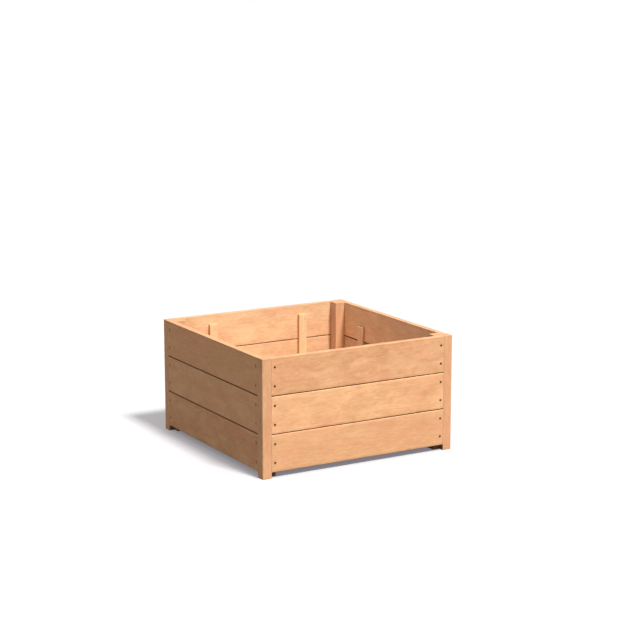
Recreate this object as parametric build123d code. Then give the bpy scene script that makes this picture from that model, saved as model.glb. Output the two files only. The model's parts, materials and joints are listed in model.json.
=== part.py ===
from build123d import *
import os

# Square planter box. Four rabbeted corner posts carry three boards on each wall, two battens
# inside each wall tie its boards together, and a slatted floor lies on two bearers.
# Millimetres. +Z is up, +X runs to the right along the front wall, +Y to the back.
# The origin is the centre of the footprint, on the ground.

# Overall
box_length = 1000.0  # over the outer faces of the left and right walls, along X
box_depth = 1000.0  # over the outer faces of the front and back walls, along Y
ground_gap = 27.0  # from the ground to the lowest board

# Wall boards
board_height = 170.0
board_thickness = 28.0
board_gap = 4.0  # between one board and the next
board_round = 2.0  # eased edges
board_end_gap = 0.3  # from a board's end to the corner strip beside it
board_names = ["lower", "middle", "upper"]

# Corner posts
post_size = 80.0
corner_strip = 45.0  # what shows of a post on each of its two outer faces
post_round = 4.0  # the outer corner
strip_round = 1.5  # the strip's edges beside the boards
post_end_chamfer = 1.0  # top and foot

# Battens inside the walls
batten_width = 42.0
batten_thickness = 15.0
batten_spacing = 500.0  # between the centres of the two battens of a wall
batten_below_rim = 45.0  # on the front and back walls
batten_round = 1.5

# Floor
bearer_width = 50.0
bearer_height = 50.0
bearer_above_boards = 3.0  # its underside, over the lowest boards' lower edge
bearer_end_gap = 1.0
bearer_round = 2.0
floor_board_count = 7
floor_board_thickness = 28.0
floor_gap = 8.0  # lets water out
floor_clearance = 2.0  # to the walls, battens and posts
floor_round = 2.0

# Screws, countersunk, with a six-lobed recess
screw_diameter = 5.0
screw_head_diameter = 9.5
screw_head_rim = 0.6  # the straight edge of the head
screw_tip = 6.0
board_screw_length = 50.0
bearer_screw_length = 70.0
floor_screw_length = 50.0
board_screw_from_end = 17.0  # from the end of the board
board_screw_from_edge = 42.0  # from the board's upper and lower edges
floor_screw_from_side = 24.0
recess_radius = 1.75
recess_lobe_radius = 0.5
recess_depth = 2.0

# Pins, small-headed, through the battens
pin_diameter = 2.5
pin_head_diameter = 4.0
pin_head_thickness = 1.2
pin_length = 38.0
pin_tip = 3.0
pin_from_edge = 25.0  # from the edge of the board or the end of the batten
pin_stagger = 16.0  # between the two pins of a board, across the batten

# Fits
head_sink = 1.0  # every head lies this far below the wood's face
hole_clearance = 0.05  # radially, round every screw and pin
hole_overrun = 1.0  # past the tip

# What follows from them
board_pitch = board_height + board_gap
rim_height = ground_gap + len(board_names) * board_pitch - board_gap
bearer_bottom = ground_gap + bearer_above_boards
bearer_top = bearer_bottom + bearer_height
batten_length = rim_height - batten_below_rim - bearer_top
floor_top = bearer_top + floor_board_thickness
batten_inset = board_thickness + batten_thickness + floor_clearance
floor_length = box_length - 2 * (board_thickness + floor_clearance)
floor_depth = box_depth - 2 * batten_inset
floor_board_width = (floor_length - (floor_board_count - 1) * floor_gap) / floor_board_count
screw_radius = screw_diameter / 2
screw_head_radius = screw_head_diameter / 2
pin_radius = pin_diameter / 2
pin_head_radius = pin_head_diameter / 2

# Each wall: its length, the distance of its outer face from the origin, the way its outer face
# looks, the way along it, and where its battens start
walls = {
    "front": (box_length, box_depth / 2, Vector(0, -1, 0), Vector(1, 0, 0), bearer_top),
    "back": (box_length, box_depth / 2, Vector(0, 1, 0), Vector(1, 0, 0), bearer_top),
    "left": (box_depth, box_length / 2, Vector(-1, 0, 0), Vector(0, 1, 0), bearer_bottom),
    "right": (box_depth, box_length / 2, Vector(1, 0, 0), Vector(0, 1, 0), bearer_bottom),
}


def wall_point(wall, along, inward, height):
    """A point by its place along a wall, how far inside the outer face it is, and its height."""
    run, reach, outward, direction, batten_start = walls[wall]
    return outward * (reach - inward) + direction * along + Vector(0, 0, height)


def block(corner, opposite):
    """A box between two opposite corners."""
    size = opposite - corner
    return Pos((corner + opposite) / 2) * Box(abs(size.X), abs(size.Y), abs(size.Z))


def eased(solid, radius):
    return fillet(solid.edges(), radius)


def turned(outline):
    """A solid turned about Z from an outline of radii and heights."""
    return revolve(make_face(Plane.XZ * Polyline(*outline, close=True)), Axis.Z)


# ---- Screws and pins: the head's top is at the origin, and the tip points down ----


def screw(length):
    cone_end = -screw_head_rim - (screw_head_radius - screw_radius)
    body = turned(
        [
            (0, 0),
            (screw_head_radius, 0),
            (screw_head_radius, -screw_head_rim),
            (screw_radius, cone_end),
            (screw_radius, screw_tip - length),
            (0, -length),
        ]
    )
    bottom = Pos(0, 0, -recess_depth)
    up = (Align.CENTER, Align.CENTER, Align.MIN)
    body -= bottom * Cylinder(recess_radius, recess_depth + 1, align=up)
    for lobe in PolarLocations(recess_radius, 6):
        body -= bottom * lobe * Cylinder(recess_lobe_radius, recess_depth + 1, align=up)
    return body


def screw_hole(length):
    """The countersunk hole for a screw, open past the wood's face."""
    mouth = screw_head_radius + hole_clearance
    bore = screw_radius + hole_clearance
    cone_end = -screw_head_rim - (mouth - bore)
    return turned(
        [
            (0, 2 * head_sink),
            (mouth, 2 * head_sink),
            (mouth, -screw_head_rim),
            (bore, cone_end),
            (bore, screw_tip - length),
            (0, -length - hole_overrun),
        ]
    )


def pin(length):
    return turned(
        [
            (0, 0),
            (pin_head_radius, 0),
            (pin_head_radius, -pin_head_thickness / 2),
            (pin_radius, -pin_head_thickness),
            (pin_radius, pin_tip - length),
            (0, -length),
        ]
    )


def pin_hole(length):
    mouth = pin_head_radius + hole_clearance
    bore = pin_radius + hole_clearance
    return turned(
        [
            (0, 2 * head_sink),
            (mouth, 2 * head_sink),
            (mouth, -pin_head_thickness / 2),
            (bore, -pin_head_thickness),
            (bore, pin_tip - length),
            (0, -length - hole_overrun),
        ]
    )


# ---- Where each kind of fastener goes ----


def board_bottom(level):
    return ground_gap + level * board_pitch


def board_screw_places(wall, level):
    """Two screws at each end of a board, driven inwards."""
    run, reach, outward, direction, batten_start = walls[wall]
    end = run / 2 - corner_strip - board_screw_from_end
    low = board_bottom(level) + board_screw_from_edge
    high = board_bottom(level) + board_height - board_screw_from_edge
    spots = [wall_point(wall, side * end, head_sink, z) for side in (-1, 1) for z in (low, high)]
    return [Plane(spot, direction, outward).location for spot in spots]


def batten_pin_places(wall, centre, level):
    """Two staggered pins through a batten into one board, driven outwards."""
    run, reach, outward, direction, batten_start = walls[wall]
    low = max(board_bottom(level), batten_start) + pin_from_edge
    high = min(board_bottom(level) + board_height, batten_start + batten_length) - pin_from_edge
    head = board_thickness + batten_thickness - head_sink
    spots = [
        wall_point(wall, centre - pin_stagger / 2, head, low),
        wall_point(wall, centre + pin_stagger / 2, head, high),
    ]
    return [Plane(spot, direction, outward * -1).location for spot in spots]


def floor_board_centre(number):
    return (number - (floor_board_count - 1) / 2) * (floor_board_width + floor_gap)


def bearing(number):
    """The stretch of a bearer that a floor board rests on."""
    between_posts = box_length / 2 - post_size - floor_clearance
    low = max(floor_board_centre(number) - floor_board_width / 2, -between_posts)
    high = min(floor_board_centre(number) + floor_board_width / 2, between_posts)
    return low, high


def bearer_screw_places(wall):
    """Screws through a bearer into the wall, under the middle of every other floor board."""
    run, reach, outward, direction, batten_start = walls[wall]
    head = board_thickness + bearer_width - head_sink
    middles = [sum(bearing(number)) / 2 for number in range(0, floor_board_count, 2)]
    height = bearer_bottom + bearer_height / 2
    spots = [wall_point(wall, middle, head, height) for middle in middles]
    return [Plane(spot, direction, outward * -1).location for spot in spots]


def floor_screw_places(wall, number):
    """Two screws down through one end of a floor board into the bearer."""
    low, high = bearing(number)
    inward = (batten_inset + board_thickness + bearer_width) / 2
    across = (low + floor_screw_from_side, high - floor_screw_from_side)
    spots = [wall_point(wall, place, inward, floor_top - head_sink) for place in across]
    return [Location(spot) for spot in spots]


# ---- Wood ----


def drilled(wood, places, tool):
    for place in places:
        wood -= place * tool
    return wood


def wall_board(wall, level):
    run, reach, outward, direction, batten_start = walls[wall]
    end = run / 2 - corner_strip - board_end_gap
    low = board_bottom(level)
    wood = block(
        wall_point(wall, -end, 0, low),
        wall_point(wall, end, board_thickness, low + board_height),
    )
    wood = eased(wood, board_round)
    wood = drilled(wood, board_screw_places(wall, level), board_screw_tool)
    for centre in (-batten_spacing / 2, batten_spacing / 2):
        wood = drilled(wood, batten_pin_places(wall, centre, level), pin_tool)
    if level == 0 and wall in ("front", "back"):
        wood = drilled(wood, bearer_screw_places(wall), bearer_screw_tool)
    return wood


def corner_post(front_wall, side_wall):
    """A square post, rabbeted on its two outer faces so that the boards lie flush with it."""
    x_side = walls[side_wall][2].X
    y_side = walls[front_wall][2].Y
    strip, rabbet, size = corner_strip, board_thickness, post_size
    outline = [
        (0, 0),
        (strip, 0),
        (strip, rabbet),
        (size, rabbet),
        (size, size),
        (rabbet, size),
        (rabbet, strip),
        (0, strip),
    ]
    corner_x, corner_y = x_side * box_length / 2, y_side * box_depth / 2
    section = make_face(
        Polyline(*[(corner_x - x_side * x, corner_y - y_side * y) for x, y in outline], close=True)
    )

    def corner(x, y):
        spot = Vector(corner_x - x_side * x, corner_y - y_side * y)
        return section.vertices().sort_by_distance(spot)[0]

    section = fillet(corner(0, 0), post_round)
    section = fillet([corner(strip, 0), corner(0, strip), corner(size, size)], strip_round)
    wood = extrude(section, rim_height)
    wood = chamfer(wood.edges().group_by(Axis.Z)[0], post_end_chamfer)
    wood = chamfer(wood.edges().group_by(Axis.Z)[-1], post_end_chamfer)
    for wall in (front_wall, side_wall):
        for level in range(len(board_names)):
            near = [
                place
                for place in board_screw_places(wall, level)
                if place.position.X * x_side > 0 and place.position.Y * y_side > 0
            ]
            wood = drilled(wood, near, board_screw_tool)
    return wood


def batten(wall, centre):
    batten_start = walls[wall][4]
    wood = block(
        wall_point(wall, centre - batten_width / 2, board_thickness, batten_start),
        wall_point(
            wall,
            centre + batten_width / 2,
            board_thickness + batten_thickness,
            batten_start + batten_length,
        ),
    )
    wood = eased(wood, batten_round)
    for level in range(len(board_names)):
        wood = drilled(wood, batten_pin_places(wall, centre, level), pin_tool)
    return wood


def bearer(wall):
    end = box_length / 2 - post_size - bearer_end_gap
    wood = block(
        wall_point(wall, -end, board_thickness, bearer_bottom),
        wall_point(wall, end, board_thickness + bearer_width, bearer_top),
    )
    wood = eased(wood, bearer_round)
    wood = drilled(wood, bearer_screw_places(wall), bearer_screw_tool)
    for number in range(floor_board_count):
        wood = drilled(wood, floor_screw_places(wall, number), floor_screw_tool)
    return wood


def floor_board(number):
    """A board from the front bearer to the back one, notched round the posts and side battens."""
    half_width, half_depth = floor_board_width / 2, floor_depth / 2
    centre = floor_board_centre(number)
    wood = block(
        Vector(centre - half_width, -half_depth, bearer_top),
        Vector(centre + half_width, half_depth, floor_top),
    )
    post_x = box_length / 2 - post_size - floor_clearance
    post_y = box_depth / 2 - post_size - floor_clearance
    batten_x = box_length / 2 - batten_inset
    batten_reach = batten_width / 2 + floor_clearance
    notches = [
        (post_x, post_y, box_depth),
        (batten_x, batten_spacing / 2 - batten_reach, batten_spacing / 2 + batten_reach),
    ]
    for x_side in (-1, 1):
        for y_side in (-1, 1):
            for edge, near, far in notches:
                if x_side * centre + half_width > edge:
                    wood -= block(
                        Vector(x_side * edge, y_side * near, bearer_top - 1),
                        Vector(x_side * box_length, y_side * far, floor_top + 1),
                    )
    wood = eased(wood, floor_round)
    for wall in ("front", "back"):
        wood = drilled(wood, floor_screw_places(wall, number), floor_screw_tool)
    return wood


# ---- Assembly ----


def save(node, shape):
    shape.label = node
    export_step(shape, f"parts/{node}.step")
    print(node)


def save_group(node, solid, places):
    """Identical fasteners, each its own solid."""
    save(node, Compound(children=[place * solid for place in places]))


board_screw_tool = screw_hole(board_screw_length)
bearer_screw_tool = screw_hole(bearer_screw_length)
floor_screw_tool = screw_hole(floor_screw_length)
pin_tool = pin_hole(pin_length)

os.makedirs("parts", exist_ok=True)

for front_wall in ("front", "back"):
    for side_wall in ("left", "right"):
        save(f"post_{front_wall}_{side_wall}", corner_post(front_wall, side_wall))

levels = range(len(board_names))
batten_centres = (-batten_spacing / 2, batten_spacing / 2)
for wall in walls:
    batten_sides = ("left", "right") if wall in ("front", "back") else ("front", "back")
    for level in levels:
        save(f"{wall}_board_{board_names[level]}", wall_board(wall, level))
    for side, centre in zip(batten_sides, batten_centres):
        save(f"{wall}_batten_{side}", batten(wall, centre))
    board_screws = [place for level in levels for place in board_screw_places(wall, level)]
    save_group(f"{wall}_board_screws", screw(board_screw_length), board_screws)
    batten_pins = [
        place
        for centre in batten_centres
        for level in levels
        for place in batten_pin_places(wall, centre, level)
    ]
    save_group(f"{wall}_batten_pins", pin(pin_length), batten_pins)

for number in range(floor_board_count):
    save(f"floor_board_{number + 1}", floor_board(number))

for wall in ("front", "back"):
    save(f"{wall}_bearer", bearer(wall))
    save_group(f"{wall}_bearer_screws", screw(bearer_screw_length), bearer_screw_places(wall))
    floor_screws = [
        place for number in range(floor_board_count) for place in floor_screw_places(wall, number)
    ]
    save_group(f"{wall}_floor_screws", screw(floor_screw_length), floor_screws)
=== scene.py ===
import json
import math
import random

import bmesh
import bpy
import numpy as np
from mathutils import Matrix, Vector, noise


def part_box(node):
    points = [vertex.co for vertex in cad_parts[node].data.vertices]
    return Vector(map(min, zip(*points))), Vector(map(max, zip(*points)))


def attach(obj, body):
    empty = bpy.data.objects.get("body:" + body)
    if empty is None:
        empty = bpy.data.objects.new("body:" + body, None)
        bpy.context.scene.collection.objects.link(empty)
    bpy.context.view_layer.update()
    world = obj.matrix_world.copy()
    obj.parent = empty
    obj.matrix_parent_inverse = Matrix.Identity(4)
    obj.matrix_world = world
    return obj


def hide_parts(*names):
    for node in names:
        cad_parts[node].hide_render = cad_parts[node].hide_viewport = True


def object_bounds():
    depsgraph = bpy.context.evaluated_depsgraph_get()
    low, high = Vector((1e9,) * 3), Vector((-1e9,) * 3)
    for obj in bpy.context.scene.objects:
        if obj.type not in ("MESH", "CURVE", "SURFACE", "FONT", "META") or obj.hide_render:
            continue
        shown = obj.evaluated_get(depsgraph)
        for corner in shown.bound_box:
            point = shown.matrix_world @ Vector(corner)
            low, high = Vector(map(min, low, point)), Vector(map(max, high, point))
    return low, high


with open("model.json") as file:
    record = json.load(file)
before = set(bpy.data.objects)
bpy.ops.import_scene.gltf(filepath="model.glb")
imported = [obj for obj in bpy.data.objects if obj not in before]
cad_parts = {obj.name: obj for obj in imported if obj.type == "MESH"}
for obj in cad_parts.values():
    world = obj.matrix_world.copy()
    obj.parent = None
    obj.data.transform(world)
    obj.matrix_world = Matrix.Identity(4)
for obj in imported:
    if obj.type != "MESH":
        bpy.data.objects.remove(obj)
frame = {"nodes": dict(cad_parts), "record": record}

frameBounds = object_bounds()
print("frame loaded,", len(frame["nodes"]), "nodes")

# camera, lights and floor
studio = {
    "lens": 101.4,
    "cameraPlace": (-4.072, -7.119, 2.290),
    "cameraAim": (0.055, 0.0, 0.597),
    "sunTravel": (-0.12, 0.61, -1.0),  # the way its light goes
    "sunStrength": 5.2,
    "sunSpread": 10.0,  # degrees across, for soft shadow edges
    "skyStrength": 0.42,
    "fillPlace": (-6.0, -0.5, 4.2),  # a soft panel to the left
    "fillStrength": 43.0,
    "fillSize": 3.0,
    "floorTone": 0.42,
    "floorGlow": 0.30,
    "contactReach": 0.5,  # how far the box darkens the floor's glow
    "openColor": (1.0, 0.95, 1.0),  # of that glow far from the box, and close to it, where it is painted shadow
    "paintedShadowColor": (0.62, 0.585, 0.65),
    "cardTone": 0.06,
    "cardDepth": 0.001,
    "reach": 40.0,  # radius of floor and backdrop
}


def flatDisc(name, radius, height):
    bm = bmesh.new()
    bmesh.ops.create_circle(bm, cap_ends=True, segments=96, radius=radius)
    bmesh.ops.translate(bm, verts=bm.verts, vec=(0, 0, height))
    return fromBmesh(name, bm)


def fromBmesh(name, bm):
    mesh = bpy.data.meshes.new(name)
    bm.to_mesh(mesh)
    bm.free()
    piece = bpy.data.objects.new(name, mesh)
    bpy.context.scene.collection.objects.link(piece)
    return piece


def plainSurface(name, tone, glow):
    material = bpy.data.materials.new(name)
    material.use_nodes = True
    shader = material.node_tree.nodes["Principled BSDF"]
    shader.inputs["Base Color"].default_value = (tone, tone, tone, 1)
    shader.inputs["Roughness"].default_value = 0.9
    shader.inputs["Specular IOR Level"].default_value = 0.0
    shader.inputs["Emission Color"].default_value = (1, 1, 1, 1)
    shader.inputs["Emission Strength"].default_value = glow
    return material


def addNode(tree, kind, inputs, **settings):
    node = tree.nodes.new(kind)
    for key, value in settings.items():
        setattr(node, key, value)
    for key, value in inputs.items():
        if isinstance(value, bpy.types.NodeSocket):
            tree.links.new(value, node.inputs[key])
        else:
            node.inputs[key].default_value = value
    return node


def calc(tree, operation, first, second=0.0, third=0.0):
    node = addNode(tree, "ShaderNodeMath", {0: first, 1: second, 2: third}, operation=operation)
    return node.outputs[0]


def blendColor(tree, share, first, second, how="MIX"):
    node = tree.nodes.new("ShaderNodeMix")
    node.data_type = "RGBA"
    node.blend_type = how
    for index, value in ((0, share), (6, first), (7, second)):
        if isinstance(value, bpy.types.NodeSocket):
            tree.links.new(value, node.inputs[index])
        elif index == 0:
            node.inputs[index].default_value = value
        else:
            node.inputs[index].default_value = (*value, 1)
    return node.outputs[2]


def shadeContact(material):
    tree = material.node_tree
    # painted shadow: ambient occlusion dims and tints the floor's glow near the box
    shade = tree.nodes.new("ShaderNodeAmbientOcclusion")
    shade.inputs["Distance"].default_value = studio["contactReach"]
    level = blendColor(tree, shade.outputs["AO"], studio["paintedShadowColor"], studio["openColor"])
    tree.links.new(level, tree.nodes["Principled BSDF"].inputs["Emission Color"])


def setStudio():
    scene = bpy.context.scene
    scene.view_settings.view_transform = "Standard"

    cameraData = bpy.data.cameras.new("camera")
    cameraData.lens = studio["lens"]
    cameraData.clip_end = 3 * studio["reach"]
    camera = bpy.data.objects.new("camera", cameraData)
    camera.location = studio["cameraPlace"]
    look = Vector(studio["cameraAim"]) - Vector(studio["cameraPlace"])
    camera.rotation_euler = look.to_track_quat("-Z", "Y").to_euler()
    scene.collection.objects.link(camera)
    scene.camera = camera

    sunData = bpy.data.lights.new("sun", "SUN")
    sunData.energy = studio["sunStrength"]
    sunData.angle = math.radians(studio["sunSpread"])
    sun = bpy.data.objects.new("sun", sunData)
    sun.rotation_euler = Vector(studio["sunTravel"]).to_track_quat("-Z", "Y").to_euler()
    scene.collection.objects.link(sun)

    panelData = bpy.data.lights.new("fillPanel", "AREA")
    panelData.energy = studio["fillStrength"]
    panelData.size = studio["fillSize"]
    panel = bpy.data.objects.new("fillPanel", panelData)
    panel.location = studio["fillPlace"]
    panel.rotation_euler = (-panel.location).to_track_quat("-Z", "Y").to_euler()
    scene.collection.objects.link(panel)

    world = bpy.data.worlds.new("sky")
    scene.world = world
    world.use_nodes = True
    sky = world.node_tree.nodes["Background"]
    sky.inputs["Color"].default_value = (1, 1, 1, 1)
    sky.inputs["Strength"].default_value = studio["skyStrength"]

    # the pale floor that shows, and a darker card under it that only bounced light meets
    floor = flatDisc("floor", studio["reach"], 0.0)
    floor.data.materials.append(plainSurface("pale floor", studio["floorTone"], studio["floorGlow"]))
    shadeContact(floor.data.materials[0])
    floor.visible_diffuse = False
    floor.visible_shadow = False
    card = flatDisc("bounceCard", studio["reach"], -studio["cardDepth"])
    card.data.materials.append(plainSurface("bounce card", studio["cardTone"], 0.0))
    card.visible_camera = False
    card.visible_glossy = False

    bm = bmesh.new()
    bmesh.ops.create_uvsphere(bm, u_segments=48, v_segments=24, radius=studio["reach"])
    backdrop = fromBmesh("backdrop", bm)
    backdrop.data.materials.append(plainSurface("backdrop", 0.0, 1.0))
    backdrop.visible_diffuse = False
    backdrop.visible_glossy = False
    backdrop.visible_shadow = False
    print("studio set")


setStudio()


# fasteners, read from the frame so that every hole and head is where the frame has it
wallSides = {"front": (1, -1), "back": (1, 1), "left": (0, -1), "right": (0, 1)}  # axis, way out
screwShape = {
    "shank": 0.0025,
    "core": 0.0017,
    "neck": 0.0019,
    "neckLead": 0.0008,  # from the cone down to the neck
    "threadPitch": 0.0028,
    "threadShare": 0.62,  # of the length
    "threadLead": 0.001,
    "threadRings": 5,  # to each turn
    "threadSteepness": 3.2,
    "leastCrest": 0.04,
    "rim": 0.0006,
    "coneEase": 0.0002,
    "tip": 0.006,
    "point": 0.0001,
    "recess": (0.0016, 0.00028, 0.0020),  # radius, lobe, depth
    "lobes": 6,
    "recessFoot": ((-0.0003, 0.0), (0.0, 0.0002)),  # each (wider than the recess, up from its floor)
    "recessLip": ((0.0, 0.0002), (0.00015, 0.00005)),  # each (wider than the recess, depth)
    "headLip": ((-0.0007, 0.0), (-0.0002, 0.00008), (0.0, 0.0003)),  # each (wider than the head, depth)
    "sides": 24,
    "grime": 1.0,  # how dark its hole is
}
sideScrewShape = dict(screwShape, grime=0.15)  # painted light: the side walls' screws get lighter holes, so that they show less in the shade there
pinShape = {
    "shank": 0.00125,
    "rim": 0.0006,
    "crown": ((0.45, 0.0), (0.85, 0.0001), (1.0, 0.0003)),  # each (share of the head's radius, depth)
    "grooves": 4,
    "grooveStart": 0.002,
    "grooveStep": 0.0012,
    "grooveLength": 0.0005,
    "grooveDepth": 0.0001,
    "tip": 0.003,
    "tipFacets": (4, 0.55, 0.15, 0.4),  # how many, their radius and swing in shanks, their place in tips
    "point": 0.00005,
    "sides": 16,
    "grime": 0.35,
}
holeShape = {
    "ease": 0.00035,
    "backEase": (0.0002, 0.0003),  # wider and deeper, where the head is in another piece
    "slack": 0.00015,
    "pastTip": 0.001,
    "bite": 0.001,  # a fastener that enters less than this makes no hole
    "leastSide": 0.01,  # a side narrower than this takes no hole
    "flush": 0.0001,  # a head this close to a face is in it
    "headReach": 1.9,  # half the patch of mesh that a hole takes up, in head radii
    "shankReach": 2,  # the same in shank radii, where there is no head
    "mouthGrime": 0.25,  # share of the grime at the mouth
}


def splitRuns(values, gap=0.005):
    # numbers the runs of values that lie closer together than the gap
    order = np.argsort(values)
    breaks = np.where(np.diff(values[order]) > gap)[0]
    labels = np.empty(len(values), int)
    labels[order] = np.searchsorted(breaks, np.arange(len(values)), side="left")
    return labels


def findFasteners(nodeName, axis, way, shape):
    mesh = frame["nodes"][nodeName].data
    points = np.empty(len(mesh.vertices) * 3)
    mesh.vertices.foreach_get("co", points)
    points = points.reshape(-1, 3)
    across = [i for i in range(3) if i != axis]
    labels = [splitRuns(points[:, i]) for i in across]
    found = []
    for pair in sorted(set(zip(*labels))):
        own = points[(labels[0] == pair[0]) & (labels[1] == pair[1])]
        low, high = own.min(0), own.max(0)
        head = (low + high) / 2
        head[axis] = high[axis] if way > 0 else low[axis]
        found.append(
            {
                "head": Vector(head),
                "axis": axis,
                "way": way,  # the way the head looks
                "length": float(high[axis] - low[axis]),
                "headRadius": float(high[across[0]] - low[across[0]]) / 2,
                "shape": shape,
            }
        )
    return found


def listFasteners():
    groups = {}
    for wall, (axis, out) in wallSides.items():
        groups[f"{wall}_board_screws"] = (axis, out, sideScrewShape if axis == 0 else screwShape)
        groups[f"{wall}_batten_pins"] = (axis, -out, pinShape)
        if wall in ("front", "back"):
            groups[f"{wall}_bearer_screws"] = (axis, -out, screwShape)
            groups[f"{wall}_floor_screws"] = (2, 1, screwShape)
    return {name: findFasteners(name, *facts) for name, facts in groups.items()}


fasteners = listFasteners()
print("fasteners found:", {name: len(found) for name, found in fasteners.items()})


# timber: a section swept along the grain, with eased arrises and drilled holes
timber = {
    "spacing": 0.013,  # of the mesh
    "arcSteps": 4,
    "wear": 0.0007,  # how much an arris is knocked back here and there
    "wearStretch": (38, 90),  # how quickly that comes and goes along and across the grain
    "wearFrom": 0.1,
    "warp": 0.00030,  # how far a face is from flat
    "warpStretch": (3.1, 9),
    "lean": 0.025,  # how far the heart strays from the grain
    "capInset": 0.0001,  # keeps the flat end inside its eased edge
    "endShare": 0.6,  # how far round an eased end the cut end's look starts
    "holeCells": 6,
    "notchKeep": 0.008,  # the strip of a notched edge that is squeezed up to the cut
    "sharpAngle": 0.7,
    "same": 1e-7,  # two points this close are one
    "leastGap": 0.00005,  # between two stops
    "overEdge": 0.0001,  # how far beside a step the notches are looked up
    "reachSlack": 0.00002,
}
faceMarks = {
    "wallDistance": 0.44,  # a piece further out than this belongs to a wall
    "turned": 0.7,  # how squarely a face looks one way to count as turned that way
    "rimDepth": 0.0035,
    "rimShade": 0.25,  # how much the arrises round the top are darkened
    "rimLevel": 0.85,  # how level a face is from where it isn't such an arris
    "topLevel": 0.8,  # and from where it is the top
    "jointLevel": 0.95,  # and from where it is a joint, at any height
    "lowestArris": 0.003,  # how far it comes up a wall
    "footHeight": 0.045,
    "skin": 0.002,  # what lies deeper than this isn't an outer face
}
plainTraits = {
    "figure": 1.0,  # how cloudy the wood is
    "toneShift": 0.0,
    "jointShade": 0.0,  # painted shade on the faces that lie against the next piece, in the gaps and under the lowest board
    "jointLean": 0.95,  # how level a face is from where it counts as one of those
    "footShade": 0.0,  # painted shade on the inner faces of a foot, under the boards
}
noise.seed_set(5)  # otherwise the warp differs from run to run


def sortedStops(marks, spacing):
    marks = sorted(marks)
    kept = [marks[0]]
    for mark in marks[1:]:
        if mark - kept[-1] > timber["leastGap"]:
            steps = max(1, math.ceil((mark - kept[-1]) / spacing - 0.001))
            kept += [kept[-1] + (mark - kept[-1]) * k / steps for k in range(1, steps + 1)]
    return kept


def drawOutline(corners, rounding, stops):
    # corners run anticlockwise; stops hold places along each side that need a point
    count = len(corners)
    ways = [(corners[(i + 1) % count] - corners[i]).normalized() for i in range(count)]
    outline = []
    for i, corner in enumerate(corners):
        came, goes, radius = ways[i - 1], ways[i], rounding[i]
        bend = 1 if came.cross(goes) > 0 else -1
        inside = Vector((-came.y, came.x)) * bend
        centre = corner - came * radius + inside * radius
        for k in range(timber["arcSteps"] + 1):
            turn = math.pi / 2 * k / timber["arcSteps"]
            spoke = -inside * math.cos(turn) + came * math.sin(turn)
            arris = math.sin(2 * turn) if bend > 0 else 0.0
            outline.append({"at": centre + spoke * radius, "out": spoke * bend, "side": i, "arris": arris})
        length = (corners[(i + 1) % count] - corner).length
        along = sortedStops([radius, length - rounding[(i + 1) % count]] + stops[i], timber["spacing"])
        for place in along[1:-1]:
            outline.append(
                {"at": corner + goes * place, "out": Vector((goes.y, -goes.x)), "side": i, "arris": 0.0}
            )
    return outline


def sideRange(corners, i, axis):
    ends = (corners[i][axis], corners[(i + 1) % len(corners)][axis])
    return min(ends), max(ends)


def facingSides(corners, into, across):
    # which side of the section a straight line meets on each way, at one place across it
    sides = {}
    for i in range(len(corners)):
        low, high = sideRange(corners, i, 1 - into)
        if low < across < high and high - low > holeShape["leastSide"]:
            step = corners[(i + 1) % len(corners)] - corners[i]
            outward = Vector((step.y, -step.x)).normalized()[into]
            sides[round(outward)] = i
    return sides


def planHoles(stock):
    # the holes that the fasteners make in one piece, each with the side of the section it enters by
    grain, corners, low, high = stock["grain"], stock["corners"], stock["low"], stock["high"]
    start, end = stock["span"]
    bite = holeShape["bite"]
    holes = []
    for fastener in (f for group in fasteners.values() for f in group):
        head, axis, way = fastener["head"], fastener["axis"], fastener["way"]
        if axis == grain:
            continue
        into = stock["axes"].index(axis)
        other = stock["axes"][1 - into]
        tip = head[axis] - way * fastener["length"]
        if not (start < head[grain] < end and low[other] < head[other] < high[other]):
            continue
        if min(tip, head[axis]) > high[axis] - bite or max(tip, head[axis]) < low[axis] + bite:
            continue
        sides = facingSides(corners, into, head[other])
        entry = corners[sides[way]][into]
        exitPlace = corners[sides[-way]][into]
        if (head[axis] - entry) * way < holeShape["flush"]:
            reach = holeShape["headReach"] * fastener["headRadius"]
        else:
            reach = holeShape["shankReach"] * fastener["shape"]["shank"]
        holes.append(
            {
                "fastener": fastener,
                "into": into,
                "along": head[grain],
                "across": head[other],
                "entry": entry,
                "entrySide": sides[way],
                "exitSide": sides[-way] if (exitPlace - tip) * way > 0 else None,
                "depth": (entry - tip) * way + holeShape["pastTip"],
                "sink": (entry - head[axis]) * way,
                "exit": exitPlace,
                "reach": reach,
            }
        )
    return holes


def holeRings(hole):
    shape, radius = hole["fastener"]["shape"], hole["fastener"]["headRadius"]
    shank = shape["shank"] + holeShape["slack"]
    if hole["sink"] < -holeShape["flush"]:  # the head is in another piece
        wider, deeper = holeShape["backEase"]
        return [(shank + wider, 0.0), (shank, deeper)]
    mouth = radius + holeShape["slack"]
    cone = hole["sink"] + shape["rim"] + radius - shape["shank"]
    return [
        (mouth + holeShape["ease"], 0.0),
        (mouth, holeShape["ease"]),
        (mouth, hole["sink"] + shape["rim"]),
        (shank, cone),
    ]


def cellStops(centre, reach):
    cells = timber["holeCells"]
    return [centre + reach * (2 * k / cells - 1) for k in range(cells + 1)]


def planStops(corners, holes):
    # places along each side of the section where a hole needs points
    stops = [[] for corner in corners]
    for hole in holes:
        axis = 1 - hole["into"]
        for i, corner in enumerate(corners):
            low, high = sideRange(corners, i, axis)
            if low < hole["across"] - hole["reach"] and hole["across"] + hole["reach"] < high:
                places = cellStops(hole["across"], hole["reach"])
                stops[i] += [abs(place - corner[axis]) for place in places]
    return stops


def notchAt(notches, place):
    return next((limit for low, high, limit in notches if low < place < high), None)


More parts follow.
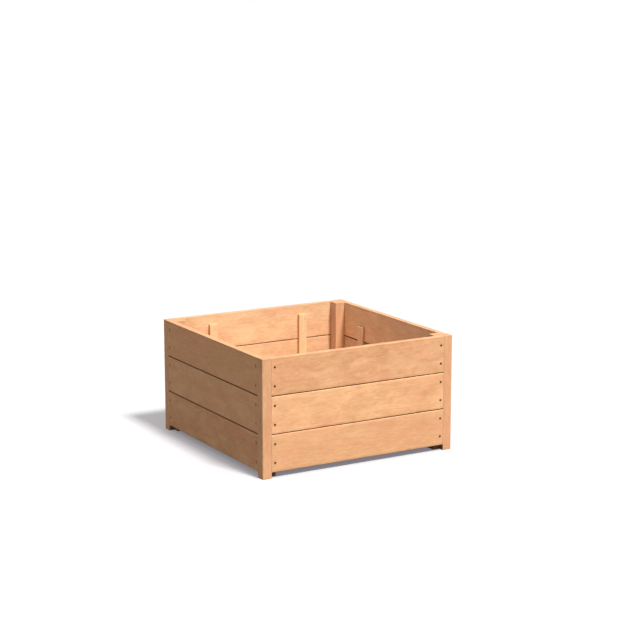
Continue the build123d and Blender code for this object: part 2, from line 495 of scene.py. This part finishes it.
def planSteps(span, endEase, holes, notches):
    # steps along the grain: (place, how far the section is drawn in, where a notch cuts it off)
    start, end = span
    marks = [start + endEase, end - endEase]
    for hole in holes:
        marks += cellStops(hole["along"], hole["reach"])
    for low, high, limit in notches:
        marks += [place for place in (low, high) if start < place < end]
    easedEnd = [(start, endEase + timber["capInset"])]
    for k in range(timber["arcSteps"]):
        turn = math.pi / 2 * k / timber["arcSteps"]
        easedEnd.append((start + endEase * (1 - math.cos(turn)), endEase * (1 - math.sin(turn))))
    stations = easedEnd + [(place, 0.0) for place in sortedStops(marks, timber["spacing"])]
    stations += [(start + end - place, drawn) for place, drawn in reversed(easedEnd)]
    steps = []
    for place, drawn in stations:
        before = notchAt(notches, place - timber["overEdge"])
        after = notchAt(notches, place + timber["overEdge"])
        steps.append((place, drawn, before))
        if after != before:
            steps.append((place, drawn, after))
    return steps


def chooseStock(grain, corners, span, shape, seed):
    # the wood that one piece is cut from: its extent, where its heart runs and how it is toned
    dice = random.Random(seed)
    axes = ((grain + 1) % 3, (grain + 2) % 3)
    low = Vector((0, 0, 0))
    high = Vector((0, 0, 0))
    for i, axis in enumerate(axes):
        low[axis] = min(corner[i] for corner in corners)
        high[axis] = max(corner[i] for corner in corners)
    low[grain], high[grain] = span
    bm = bmesh.new()
    layerNames = ("grain", "marks", "tone", "facing")
    tone = dice.random()
    shift = dice.uniform(0, 40)
    lean = [dice.uniform(-timber["lean"], timber["lean"]) for axis in axes]
    centre = [(low[axis] + high[axis]) / 2 for axis in axes]
    heart = shape["heart"][::-1] if grain == 1 else shape["heart"]  # across, then along the height
    heart = [centre[0] + heart[0] * dice.choice((-1, 1)), centre[1] + heart[1] * dice.uniform(-1, 1)]
    return {
        "bm": bm,
        "layers": {name: bm.verts.layers.float_vector.new(name) for name in layerNames},
        "grain": grain,
        "axes": axes,  # of the section
        "corners": corners,
        "span": span,
        "low": low,
        "high": high,
        "tone": tone,
        "shift": shift,
        "lean": lean,
        "heart": heart,
        "drift": Vector([dice.uniform(-50, 50) for i in range(3)]),
    }


def addPoint(stock, place, section, arris=0.0, cut=0.0, bore=0.0):
    first, second = stock["axes"]
    heart, lean = stock["heart"], stock["lean"]
    along, across = timber["warpStretch"]
    spot = Vector((0, 0, 0))
    spot[stock["grain"]] = place
    spot[first] = section[0]
    spot[second] = section[1]
    sample = Vector((place * along, section[0] * across, section[1] * across)) + stock["drift"]
    bend = noise.noise_vector(sample)
    spot[first] += bend[0] * timber["warp"]
    spot[second] += bend[1] * timber["warp"]
    vertex = stock["bm"].verts.new(spot)
    offset = place - (stock["span"][0] + stock["span"][1]) / 2
    vertex[stock["layers"]["grain"]] = (
        place + stock["shift"],
        section[0] - heart[0] - lean[0] * offset,
        section[1] - heart[1] - lean[1] * offset,
    )
    vertex[stock["layers"]["marks"]] = (arris, cut, bore)
    return vertex


def sectionPoint(stock, point, place, drawn, limit):
    knock = 0.0
    if point["arris"] > 0:
        along, across = timber["wearStretch"]
        spot = Vector((place * along, point["at"].x * across, point["at"].y * across)) + stock["drift"]
        knock = max(0.0, noise.noise(spot) - timber["wearFrom"]) * timber["wear"] * point["arris"]
    at = point["at"] - point["out"] * (drawn + knock)
    if limit is not None:
        way = 1 if limit > 0 else -1
        keep = limit - way * timber["notchKeep"]
        outer = max(corner.y * way for corner in stock["corners"]) * way
        if (at.y - keep) * way > 0:
            at = Vector((at.x, keep + (at.y - keep) * (limit - keep) / (outer - keep)))
    return at


def sweepRings(stock, outline, steps, endEase):
    rings = []
    for place, drawn, limit in steps:
        ring = {"place": place, "verts": [], "ats": []}
        cut = 1.0 if drawn > timber["endShare"] * endEase else 0.0
        easing = 1.0 - drawn / endEase if 0 < drawn < endEase else 0.0
        last = rings[-1] if rings and abs(rings[-1]["place"] - place) < timber["same"] else None
        for j, point in enumerate(outline):
            at = sectionPoint(stock, point, place, drawn, limit)
            if last and (last["ats"][j] - at).length < timber["same"]:
                vertex = last["verts"][j]
            else:
                arris = max(point["arris"], easing) if drawn < endEase else 0.0
                vertex = addPoint(stock, place, at, arris=arris, cut=cut)
            ring["verts"].append(vertex)
            ring["ats"].append(at)
        rings.append(ring)
    return rings


def openHoles(outline, rings, holes):
    # the cells of the skin that each hole takes up, and the rims round them
    cutCells = set()
    patches = []
    for hole in holes:
        axis, reach = 1 - hole["into"], hole["reach"] + timber["reachSlack"]
        firstRing, lastRing = [
            min(range(len(rings)), key=lambda k: abs(rings[k]["place"] - end))
            for end in (hole["along"] - hole["reach"], hole["along"] + hole["reach"])
        ]
        for side in (hole["entrySide"], hole["exitSide"]):
            if side is None:
                continue
            inside = [
                j
                for j, point in enumerate(outline)
                if point["side"] == side
                and point["arris"] == 0
                and abs(point["at"][axis] - hole["across"]) < reach
            ]
            first, last = min(inside), max(inside)
            cutCells |= {(k, j) for k in range(firstRing, lastRing) for j in range(first, last)}
            rim = [rings[k]["verts"][j] for k in (firstRing, lastRing) for j in range(first, last + 1)]
            rim += [rings[k]["verts"][j] for k in range(firstRing + 1, lastRing) for j in (first, last)]
            patches.append((hole, side, rim))
    return cutCells, patches


def skinRings(bm, rings, cutCells):
    for k in range(len(rings) - 1):
        here, there = rings[k]["verts"], rings[k + 1]["verts"]
        for j in range(len(here)):
            n = (j + 1) % len(here)
            cell = list(dict.fromkeys([here[j], here[n], there[n], there[j]]))
            if (k, j) not in cutCells and len(cell) > 2:
                bm.faces.new(cell)
    bm.faces.new(rings[0]["verts"][::-1])
    bm.faces.new(rings[-1]["verts"])


def bridge(bm, outer, inner):
    for i in range(len(outer)):
        n = (i + 1) % len(outer)
        bm.faces.new([outer[i], outer[n], inner[n], inner[i]])


def angleOf(stock, hole, vertex):
    across = vertex.co[stock["axes"][1 - hole["into"]]] - hole["across"]
    return math.atan2(across, vertex.co[stock["grain"]] - hole["along"])


def holePoint(stock, hole, angle, radius, level, bore):
    across = hole["across"] + radius * math.sin(angle)
    section = (level, across) if hole["into"] == 0 else (across, level)
    return addPoint(stock, hole["along"] + radius * math.cos(angle), section, bore=bore)


def drillHoles(stock, patches):
    bm = stock["bm"]
    lastRings = {}
    for hole, side, rim in patches:
        shape, way = hole["fastener"]["shape"], hole["fastener"]["way"]
        shank = shape["shank"] + holeShape["slack"]
        last = sorted(rim, key=lambda vertex: angleOf(stock, hole, vertex))
        angles = [angleOf(stock, hole, vertex) for vertex in last]
        if side == hole["entrySide"]:
            levels = [(radius, hole["entry"] - way * depth) for radius, depth in holeRings(hole)]
        else:
            levels = [(shank, hole["exit"])]
        bores = [shape["grime"] * holeShape["mouthGrime"]] + [shape["grime"]] * (len(levels) - 1)
        blind = side == hole["entrySide"] and hole["exitSide"] is None
        bottom = hole["entry"] - way * hole["depth"]
        if blind:
            levels.append((shank, bottom + way * shank))
            bores.append(1.0)
        for (radius, level), bore in zip(levels, bores):
            ring = [holePoint(stock, hole, angle, radius, level, bore) for angle in angles]
            bridge(bm, last, ring)
            last = ring
        if blind:
            tip = holePoint(stock, hole, 0.0, 0.0, bottom, 1.0)
            for i in range(len(last)):
                bm.faces.new([last[i], last[(i + 1) % len(last)], tip])
        elif id(hole) in lastRings:
            bridge(bm, lastRings[id(hole)], last)
        else:
            lastRings[id(hole)] = last


def markSurface(stock, traits):
    # tone: (tone, figure, sideways); facing: (inner, top, dark joint); inner, sideways and top take
    # painted light tints, dark takes the painted shade of joints and feet and the darkened top arrises
    centre = (stock["low"] + stock["high"]) / 2
    rimHeight = frameBounds[1].z - faceMarks["rimDepth"]
    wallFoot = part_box("front_board_lower")[0].z + faceMarks["lowestArris"]
    wallAxes = [i for i in (0, 1) if abs(centre[i]) > faceMarks["wallDistance"]]
    for vertex in stock["bm"].verts:
        place, normal = vertex.co, vertex.normal
        level = abs(normal.z)
        inner = any(normal[i] * math.copysign(1, centre[i]) < -faceMarks["turned"] for i in wallAxes)
        sideways = inner and abs(normal.x) > faceMarks["turned"]
        atRim = place.z > rimHeight
        # painted shade in the joints between boards and under the lowest
        atJoint = level > faceMarks["jointLevel"] or place.z > wallFoot and level > traits["jointLean"]
        dark = 0.0
        if atRim and level < faceMarks["rimLevel"]:
            dark = faceMarks["rimShade"]
        elif not atRim and atJoint:
            dark = traits["jointShade"]
        # painted shade on the recessed faces of a foot
        deep = max(abs(place.x), abs(place.y)) < frameBounds[1].x - faceMarks["skin"]
        if place.z < faceMarks["footHeight"] and deep:
            dark = max(dark, traits["footShade"])
        top = atRim and normal.z > faceMarks["topLevel"]
        tone = stock["tone"] + traits["toneShift"]
        vertex[stock["layers"]["tone"]] = (tone, traits["figure"], float(sideways))
        vertex[stock["layers"]["facing"]] = (float(inner), float(top), dark)


def smoothFaces(bm):
    for face in bm.faces:
        face.smooth = True
    for edge in bm.edges:
        if len(edge.link_faces) == 2 and edge.calc_face_angle(0) > timber["sharpAngle"]:
            edge.smooth = False


def sweepTimber(name, grain, corners, rounding, span, shape, seed, notches=(), traits=plainTraits):
    stock = chooseStock(grain, corners, span, shape, seed)
    bm = stock["bm"]
    holes = planHoles(stock)
    outline = drawOutline(corners, rounding, planStops(corners, holes))
    steps = planSteps(span, shape["endEase"], holes, notches)
    rings = sweepRings(stock, outline, steps, shape["endEase"])
    cutCells, patches = openHoles(outline, rings, holes)
    skinRings(bm, rings, cutCells)
    drillHoles(stock, patches)
    bmesh.ops.recalc_face_normals(bm, faces=bm.faces)
    bm.normal_update()
    markSurface(stock, traits)
    smoothFaces(bm)
    bmesh.ops.triangulate(bm, faces=[face for face in bm.faces if len(face.verts) > 4])
    return fromBmesh(name, bm)


# wood finishes; the grain runs along the first number of the grain place, in metres
wallLook = {
    "light": (0.95, 0.545, 0.285),
    "body": (0.80, 0.42, 0.205),
    "dark": (0.58, 0.255, 0.10),
    "rose": (0.84, 0.385, 0.205),
    # the colour of dark holes and of the painted shade
    "grime": (0.10, 0.045, 0.02),
    "inner": (0.88, 1.03, 1.14),  # painted light: the faces turned inwards are tinted paler and yellower for the light inside the box: times the colour
    "innerSidePaintedLight": (0.987, 1.058, 1.19),  # and once more, bluer, on those that look sideways: painted light from the left
    # painted shade: the up-facing tops are darkened against the strong light that falls on them: times the
    # colour
    "rim": (0.89, 0.85, 0.91),
    "wanderStretch": (1.7, 9, 9),  # of the heart that the rings go round
    "wander": (0.0, 0.05, 0.05),
    "ringSpacing": 0.011,
    "ringBand": [(0.0, 0.30), (0.10, 0.0), (0.60, 0.08), (0.92, 1.0), (1.0, 0.30)],
    "ringDepth": 0.16,
    "cloudDepth": 0.85,
    "roseDepth": 0.5,
    "patchDepth": 0.38,
    "streakDepth": 0.14,
    "fleckDepth": 0.32,
    "speckBand": [(0.34, 1.0), (0.46, 0.0)],
    "speckDepth": 0.16,
    "fibreBand": (0.25, 0.75),
    "fibreDepth": 0.16,
    "poreDepth": 0.35,
    "wornDepth": 0.45,
    "endDepth": 0.16,
    "boreAndShadeDepth": 0.80,
    "toneSwing": 0.08,
    "roughness": (0.58, 0.76),
    "endRoughness": 0.12,
    "gloss": 0.18,
    "relief": 0.00025,
    "reliefShare": 0.6,
    "ringRelief": 0.35,
    "poreRelief": -0.6,
}
# posts and battens get their own painted light tints on the inward faces
postLook = dict(
    wallLook,
    body=(0.77, 0.40, 0.205),
    inner=(0.824, 0.87, 0.92),
    innerSidePaintedLight=(0.958, 1.096, 1.42),
    ringSpacing=0.008,
    cloudDepth=0.45,
)
battenLook = dict(
    wallLook,
    light=(0.90, 0.545, 0.275),
    body=(0.735, 0.44, 0.222),
    rose=(0.75, 0.42, 0.215),
    inner=(1.00, 1.20, 1.30),
    innerSidePaintedLight=(0.98, 1.02, 1.24),
    ringSpacing=0.006,
    ringDepth=0.10,
    cloudDepth=0.30,
)
floorLook = dict(
    wallLook,
    body=(0.68, 0.37, 0.19),
    ringSpacing=0.012,
    cloudDepth=0.60,
    roughness=(0.66, 0.86),
)
woodNoises = {  # stretch along and across the grain, detail, roughness, distortion
    "cloud": ((7.0, 14, 14), 4.0, 0.60, 0.5),
    "patch": ((12.0, 26, 26), 3.0, 0.55, 0.4),
    "fleck": ((38, 170, 170), 2.0, 0.50, 0.0),
    "rose": ((3.0, 11, 11), 1.0, 0.55, 0.0),
    "fibre": ((9, 330, 330), 4.0, 0.65, 0.0),
    "pore": ((60, 1500, 1500), 2.0, 0.50, 0.0),
    "streak": ((4, 120, 120), 3.0, 0.60, 0.0),
    "scuff": ((45, 160, 160), 2.0, 0.55, 0.0),
}
woodBands = {  # where each of them starts to show, and is full
    "cloud": (0.40, 0.60),
    "patch": (0.46, 0.66),
    "fleck": (0.54, 0.66),
    "rose": (0.45, 0.62),
    "pore": (0.60, 0.68),
    "streak": (0.56, 0.72),
    "scuff": (0.40, 0.62),
}


def ramp(tree, value, stops):
    node = addNode(tree, "ShaderNodeValToRGB", {"Fac": value})
    band = node.color_ramp
    while len(band.elements) < len(stops):
        band.elements.new(0.5)
    for element, (place, level) in zip(band.elements, stops):
        element.position = place
        element.color = (level, level, level, 1)
    return node.outputs["Color"]


def fadeIn(tree, value, start, end):
    return ramp(tree, value, [(start, 0.0), (end, 1.0)])


def vectorCalc(tree, operation, first, second=(0, 0, 0)):
    return addNode(tree, "ShaderNodeVectorMath", {0: first, 1: second}, operation=operation)


def stretched(tree, place, scale):
    return vectorCalc(tree, "MULTIPLY", place, scale).outputs["Vector"]


def noiseOn(tree, place, stretch, detail, roughness=0.55, distortion=0.0):
    inputs = {
        "Vector": stretched(tree, place, stretch),
        "Scale": 1.0,
        "Detail": detail,
        "Roughness": roughness,
        "Distortion": distortion,
    }
    return addNode(tree, "ShaderNodeTexNoise", inputs)


def readLayer(tree, name):
    vector = addNode(tree, "ShaderNodeAttribute", {}, attribute_name=name).outputs["Vector"]
    return addNode(tree, "ShaderNodeSeparateXYZ", {0: vector}).outputs


def growthRings(tree, place, look):
    # rings round a heart that wanders
    wander = noiseOn(tree, place, look["wanderStretch"], 2.0).outputs["Color"]
    wander = vectorCalc(tree, "SUBTRACT", wander, (0.5, 0.5, 0.5)).outputs["Vector"]
    wander = stretched(tree, wander, look["wander"])
    ringPlace = vectorCalc(tree, "ADD", place, wander).outputs["Vector"]
    ringPlace = stretched(tree, ringPlace, (0, 1, 1))
    radius = vectorCalc(tree, "LENGTH", ringPlace).outputs["Value"]
    ring = calc(tree, "FRACT", calc(tree, "DIVIDE", radius, look["ringSpacing"]))
    return ramp(tree, ring, look["ringBand"])


def oiledWood(name, look):
    material = bpy.data.materials.new(name)
    material.use_nodes = True
    tree = material.node_tree
    shader = tree.nodes["Principled BSDF"]
    place = addNode(tree, "ShaderNodeAttribute", {}, attribute_name="grain").outputs["Vector"]
    tone, figure, sideways = readLayer(tree, "tone")
    arris, cutEnd, bore = readLayer(tree, "marks")
    inner, top, shade = readLayer(tree, "facing")
    # the painted shade of joints and feet, and the darkened top arrises, join the holes' darkening
    bore = calc(tree, "MAXIMUM", bore, shade)

    ring = growthRings(tree, place, look)
    noises = {key: noiseOn(tree, place, *facts).outputs["Fac"] for key, facts in woodNoises.items()}
    figures = {key: fadeIn(tree, noises[key], *band) for key, band in woodBands.items()}
    speck = ramp(tree, noises["fleck"], look["speckBand"])
    fibreStart, fibreFull = look["fibreBand"]
    fibre = ramp(tree, noises["fibre"], [(fibreStart, 1 - look["fibreDepth"]), (fibreFull, 1.0)])

    def lay(color, share, depth, over):
        return blendColor(tree, calc(tree, "MULTIPLY", share, depth), color, over)

    def tint(color, share, by):
        return blendColor(tree, share, color, by, "MULTIPLY")

    # clouds of paler and rosier wood drawn out along the board, then rings, streaks and pores
    cloudy = calc(tree, "MULTIPLY", figure, look["cloudDepth"])
    patchy = calc(tree, "MULTIPLY", figures["patch"], cloudy)
    color = lay(look["body"], figures["cloud"], cloudy, look["light"])
    color = lay(color, figures["rose"], look["roseDepth"], look["rose"])
    color = lay(color, patchy, look["patchDepth"], look["dark"])
    color = lay(color, ring, look["ringDepth"], look["dark"])
    color = lay(color, figures["streak"], look["streakDepth"], look["dark"])
    color = lay(color, figures["fleck"], look["fleckDepth"], look["light"])
    color = lay(color, speck, look["speckDepth"], look["dark"])
    color = tint(color, 1.0, fibre)
    color = lay(color, figures["pore"], look["poreDepth"], look["dark"])
    level = calc(tree, "MULTIPLY_ADD", tone, look["toneSwing"], 1.0 - look["toneSwing"] / 2)
    level = addNode(tree, "ShaderNodeCombineColor", {0: level, 1: level, 2: level}).outputs[0]
    color = tint(color, 1.0, level)
    # painted light: inward faces, and once more those that look sideways, are tinted for how the light
    # reaches them
    color = tint(color, inner, look["inner"])
    color = tint(color, sideways, look["innerSidePaintedLight"])
    # painted shade on the up-facing tops
    color = tint(color, top, look["rim"])

    # worn arrises are paler, cut ends and holes darker, and the painted shade of joints and feet darker in
    # the same way
    worn = calc(tree, "MULTIPLY", arris, figures["scuff"])
    color = lay(color, worn, look["wornDepth"], look["light"])
    color = lay(color, cutEnd, look["endDepth"], look["dark"])
    color = lay(color, bore, look["boreAndShadeDepth"], look["grime"])
    tree.links.new(color, shader.inputs["Base Color"])

    smooth, coarse = look["roughness"]
    rough = calc(tree, "MULTIPLY_ADD", noises["fibre"], coarse - smooth, smooth)
    rough = calc(tree, "MULTIPLY_ADD", cutEnd, look["endRoughness"], rough)
    tree.links.new(rough, shader.inputs["Roughness"])
    shader.inputs["Specular IOR Level"].default_value = look["gloss"]

    height = calc(tree, "MULTIPLY_ADD", ring, look["ringRelief"], noises["fibre"])
    height = calc(tree, "MULTIPLY_ADD", figures["pore"], look["poreRelief"], height)
    relief = {"Height": height, "Strength": look["reliefShare"], "Distance": look["relief"]}
    bump = addNode(tree, "ShaderNodeBump", relief)
    tree.links.new(bump.outputs["Normal"], shader.inputs["Normal"])
    return material


woods = {
    "wall_wood": oiledWood("wall boards, oiled", wallLook),
    "post_wood": oiledWood("posts, oiled", postLook),
    "batten_wood": oiledWood("battens, oiled", battenLook),
    "floor_wood": oiledWood("floor, bare", floorLook),
}
print("wood finishes made")


def slotOf(node):
    return next(s["material_slot"] for s in frame["record"]["subparts"] if s["node"] == node)


def pieceName(node):
    words = node.split("_")
    return words[0] + "".join(word.capitalize() for word in words[1:])


def finishPiece(piece, node, material):
    piece.data.materials.append(material)
    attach(piece, "root")
    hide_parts(node)


def makeBar(node, grain, shape, seed, notches=(), traits=plainTraits):
    low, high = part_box(node)
    a, b = (grain + 1) % 3, (grain + 2) % 3
    plan = [(low[a], low[b]), (high[a], low[b]), (high[a], high[b]), (low[a], high[b])]
    corners = [Vector(corner) for corner in plan]
    rounding = [shape["rounding"]] * 4
    span = (low[grain], high[grain])
    piece = sweepTimber(pieceName(node), grain, corners, rounding, span, shape, seed, notches, traits)
    finishPiece(piece, node, woods[slotOf(node)])


# wall boards
boardShape = {
    "rounding": 0.002,
    "endEase": 0.0015,
    "heart": (0.10, 0.05),
    "figure": {  # lower, middle, upper
        "front": (0.40, 0.85, 1.10),
        "left": (1.00, 0.70, 0.35),
        "back": (0.60, 0.90, 0.80),
        "right": (0.80, 0.50, 0.60),
    },
    "toneShift": {
        "front": (0.3, 1.0, 0.2),
        "left": (-0.3, 0.0, -0.2),
        "back": (0.0, -0.2, 0.5),
        # the right wall's middle board is darker: partly tone variation, partly painted shade for the soft
        # shadow inside by the back post
        "right": (0.0, -1.5, 0.1),
    },
    # painted shade in the joints of each wall, and how level a face is from where it gets it: less on the
    # sunny front
    "joint": {"front": (0.35, 0.95), "left": (0.85, 0.3), "back": (0.8, 0.95), "right": (1.0, 0.3)},
}
seed = 11
for wall, (axis, out) in wallSides.items():
    jointShade, jointLean = boardShape["joint"][wall]
    for number, level in enumerate(("lower", "middle", "upper")):
        seed += 1
        traits = dict(
            plainTraits,
            figure=boardShape["figure"][wall][number],
            toneShift=boardShape["toneShift"][wall][number],
            jointShade=jointShade,
            jointLean=jointLean,
        )
        makeBar(f"{wall}_board_{level}", 1 - axis, boardShape, seed, traits=traits)
print("wall boards made")

# battens inside the walls
battenShape = {"rounding": 0.0015, "endEase": 0.0012, "heart": (0.05, 0.05)}
for wall, (axis, out) in wallSides.items():
    for side in ("left", "right") if axis == 1 else ("front", "back"):
        seed += 1
        makeBar(f"{wall}_batten_{side}", 2, battenShape, seed)
print("battens made")

# corner posts, rabbeted so that the boards lie flush
postShape = {
    "corner": 0.004,
    "strip": 0.0012,
    "inner": 0.0004,
    "endEase": 0.0010,
    "boardEndGap": 0.0003,
    "heart": (0.03, 0.03),
    # painted shade on the recessed feet under the boards
    "footShade": 0.75,
}


def makePost(frontWall, sideWall, seed):
    node = f"post_{frontWall}_{sideWall}"
    low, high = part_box(node)
    xWay, yWay = wallSides[sideWall][1], wallSides[frontWall][1]
    boardLow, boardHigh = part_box(f"{frontWall}_board_lower")
    rabbet = boardHigh.y - boardLow.y
    strip = frameBounds[1].x - boardHigh.x - postShape["boardEndGap"]
    size = high.x - low.x
    outerX = high.x if xWay > 0 else low.x
    outerY = high.y if yWay > 0 else low.y
    plan = [
        (0, 0, "corner"),
        (strip, 0, "strip"),
        (strip, rabbet, "inner"),
        (size, rabbet, "strip"),
        (size, size, "strip"),
        (rabbet, size, "strip"),
        (rabbet, strip, "inner"),
        (0, strip, "strip"),
    ]
    if xWay * yWay < 0:  # keeps the corners anticlockwise
        plan = plan[::-1]
    corners = [Vector((outerX - xWay * x, outerY - yWay * y)) for x, y, kind in plan]
    rounding = [postShape[kind] for x, y, kind in plan]
    traits = dict(plainTraits, footShade=postShape["footShade"])
    piece = sweepTimber(
        pieceName(node), 2, corners, rounding, (low.z, high.z), postShape, seed, traits=traits
    )
    finishPiece(piece, node, woods[slotOf(node)])


for frontWall in ("front", "back"):
    for sideWall in ("left", "right"):
        seed += 1
        makePost(frontWall, sideWall, seed)
print("posts made")

# floor: bearers and boards, the outer boards notched round the posts
floorShape = {"rounding": 0.002, "endEase": 0.0018, "clearance": 0.002, "heart": (0.10, 0.06)}
for wall in ("front", "back"):
    seed += 1
    makeBar(f"{wall}_bearer", 0, floorShape, seed)

# each cut-out: where it starts and ends along the board, and the line it cuts the board back to
cutOuts = {-1: [], 1: []}
for side, way in (("left", -1), ("right", 1)):
    posts = (f"post_front_{side}", f"post_back_{side}")
    battens = (f"{side}_batten_front", f"{side}_batten_back")
    for obstacle in posts + battens:
        low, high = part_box(obstacle)
        limit = (low.x if way > 0 else high.x) - way * floorShape["clearance"]
        cutOuts[way].append((low.y - floorShape["clearance"], high.y + floorShape["clearance"], limit))
for number in range(1, 8):
    node = f"floor_board_{number}"
    low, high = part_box(node)
    notches = []
    for way, cuts in cutOuts.items():
        edge = high.x if way > 0 else low.x
        notches += [cut for cut in cuts if (edge - cut[2]) * way > 0]
    seed += 1
    makeBar(node, 1, floorShape, seed, notches)
print("floor made")


# screws and pins
bronzedLook = {
    "color": (0.040, 0.013, 0.005),
    "worn": (0.09, 0.034, 0.014),
    "roughness": (0.45, 0.70),
    "metallic": 0.1,
    "gloss": 0.25,
    "blotchStretch": (420, 420, 420),
    "blotchBand": (0.40, 0.68),
    "speckStretch": (1900, 1900, 1900),
    "relief": 0.00005,
    "reliefShare": 0.4,
}
# painted light: a paler copy of the bronzed look for the side walls' screws, which lie in shade
paledForShadeLook = dict(
    bronzedLook, color=(0.26, 0.14, 0.075), worn=(0.33, 0.185, 0.10), roughness=(0.55, 0.80)
)
tintedLook = dict(bronzedLook, color=(0.72, 0.42, 0.22), worn=(0.60, 0.33, 0.17), metallic=0.2)


def steel(name, look):
    material = bpy.data.materials.new(name)
    material.use_nodes = True
    tree = material.node_tree
    shader = tree.nodes["Principled BSDF"]
    place = addNode(tree, "ShaderNodeTexCoord", {}).outputs["Object"]
    blotch = noiseOn(tree, place, look["blotchStretch"], 3.0, 0.6).outputs["Fac"]
    blotch = fadeIn(tree, blotch, *look["blotchBand"])
    speck = noiseOn(tree, place, look["speckStretch"], 2.0, 0.5).outputs["Fac"]
    tree.links.new(blendColor(tree, blotch, look["color"], look["worn"]), shader.inputs["Base Color"])
    smooth, coarse = look["roughness"]
    rough = calc(tree, "MULTIPLY_ADD", speck, coarse - smooth, smooth)
    tree.links.new(rough, shader.inputs["Roughness"])
    shader.inputs["Metallic"].default_value = look["metallic"]
    shader.inputs["Specular IOR Level"].default_value = look["gloss"]
    relief = {"Height": speck, "Strength": look["reliefShare"], "Distance": look["relief"]}
    bump = addNode(tree, "ShaderNodeBump", relief)
    tree.links.new(bump.outputs["Normal"], shader.inputs["Normal"])
    return material


bronzedSteel = steel("screws, bronzed", bronzedLook)
paledForShadeSteel = steel("screws, bronzed and dusty", paledForShadeLook)
tintedSteel = steel("pins, wood tinted", tintedLook)


# a fastener's rings are each (radius for an angle, depth below the head's top)
def plain(radius):
    return lambda angle: radius


def screwRings(fastener):
    shape, head, length = fastener["shape"], fastener["headRadius"], fastener["length"]
    rim, shank, neck = shape["rim"], shape["shank"], shape["neck"]
    recess, lobe, deep = shape["recess"]

    def lobed(wider):
        return lambda angle: recess + wider + lobe * math.cos(shape["lobes"] * angle)

    def threaded(depth, crest):
        def radius(angle):
            phase = (depth / shape["threadPitch"] + angle / (2 * math.pi)) % 1
            rise = max(0, 1 - shape["threadSteepness"] * abs(phase - 0.5))
            return shape["core"] * crest + (shank - shape["core"]) * crest * rise

        return radius

    ease = shape["coneEase"]
    start = length * (1 - shape["threadShare"])
    rings = [(lobed(wider), deep - up) for wider, up in shape["recessFoot"]]
    rings += [(lobed(wider), depth) for wider, depth in shape["recessLip"]]
    rings += [(plain(head + wider), depth) for wider, depth in shape["headLip"]]
    rings += [
        (plain(head), rim),
        (plain(shank + ease), rim + head - shank - ease),
        (plain(neck), rim + head - neck + shape["neckLead"]),
        (plain(neck), start - shape["threadLead"]),
    ]
    steps = int((length - start) / shape["threadPitch"] * shape["threadRings"])
    for k in range(steps):
        depth = start + (length - start) * k / steps
        crest = min(1.0, max(shape["leastCrest"], (length - depth) / shape["tip"]))
        rings.append((threaded(depth, crest), depth))
    rings.append((plain(shape["point"]), length))
    return rings


def pinRings(fastener):
    shape, head, length = fastener["shape"], fastener["headRadius"], fastener["length"]
    shank = shape["shank"]
    facets, middle, swing, place = shape["tipFacets"]

    def faceted(angle):
        return shank * (middle + swing * math.cos(facets * angle))

    rings = [(plain(head * share), depth) for share, depth in shape["crown"]]
    rings += [(plain(head), shape["rim"]), (plain(shank), 2 * shape["rim"])]
    for k in range(shape["grooves"]):
        depth = shape["grooveStart"] + shape["grooveStep"] * k
        rings.append((plain(shank - shape["grooveDepth"]), depth))
        rings.append((plain(shank), depth + shape["grooveLength"]))
    rings.append((plain(shank), length - shape["tip"]))
    rings.append((faceted, length - shape["tip"] * place))
    rings.append((plain(shape["point"]), length))
    return rings


def makeFasteners(node, found, drawRings, material, dice):
    bm = bmesh.new()
    for fastener in found:
        axis, way, sides = fastener["axis"], fastener["way"], fastener["shape"]["sides"]
        inward = Vector((0, 0, 0))
        inward[axis] = -way
        first = Vector((0, 0, 0))
        first[(axis + 1) % 3] = 1
        second = inward.cross(first)
        spin = dice.uniform(0, math.pi)
        last = None
        for radiusAt, depth in drawRings(fastener):
            ring = []
            for k in range(sides):
                angle = 2 * math.pi * k / sides
                spoke = first * math.cos(angle + spin) + second * math.sin(angle + spin)
                ring.append(bm.verts.new(fastener["head"] + spoke * radiusAt(angle) + inward * depth))
            if last is None:
                bm.faces.new(ring)
            else:
                bridge(bm, last, ring)
            last = ring
        bm.faces.new(last)
    bmesh.ops.recalc_face_normals(bm, faces=bm.faces)
    smoothFaces(bm)
    finishPiece(fromBmesh(pieceName(node), bm), node, material)


screwDice = random.Random(7)
for node, found in fasteners.items():
    if node.endswith("pins"):
        makeFasteners(node, found, pinRings, tintedSteel, screwDice)
    else:
        # the side walls' board screws take the paler copy, painted for the shade there
        paledForShade = node in ("left_board_screws", "right_board_screws")
        makeFasteners(node, found, screwRings, paledForShadeSteel if paledForShade else bronzedSteel, screwDice)
print("screws and pins made")
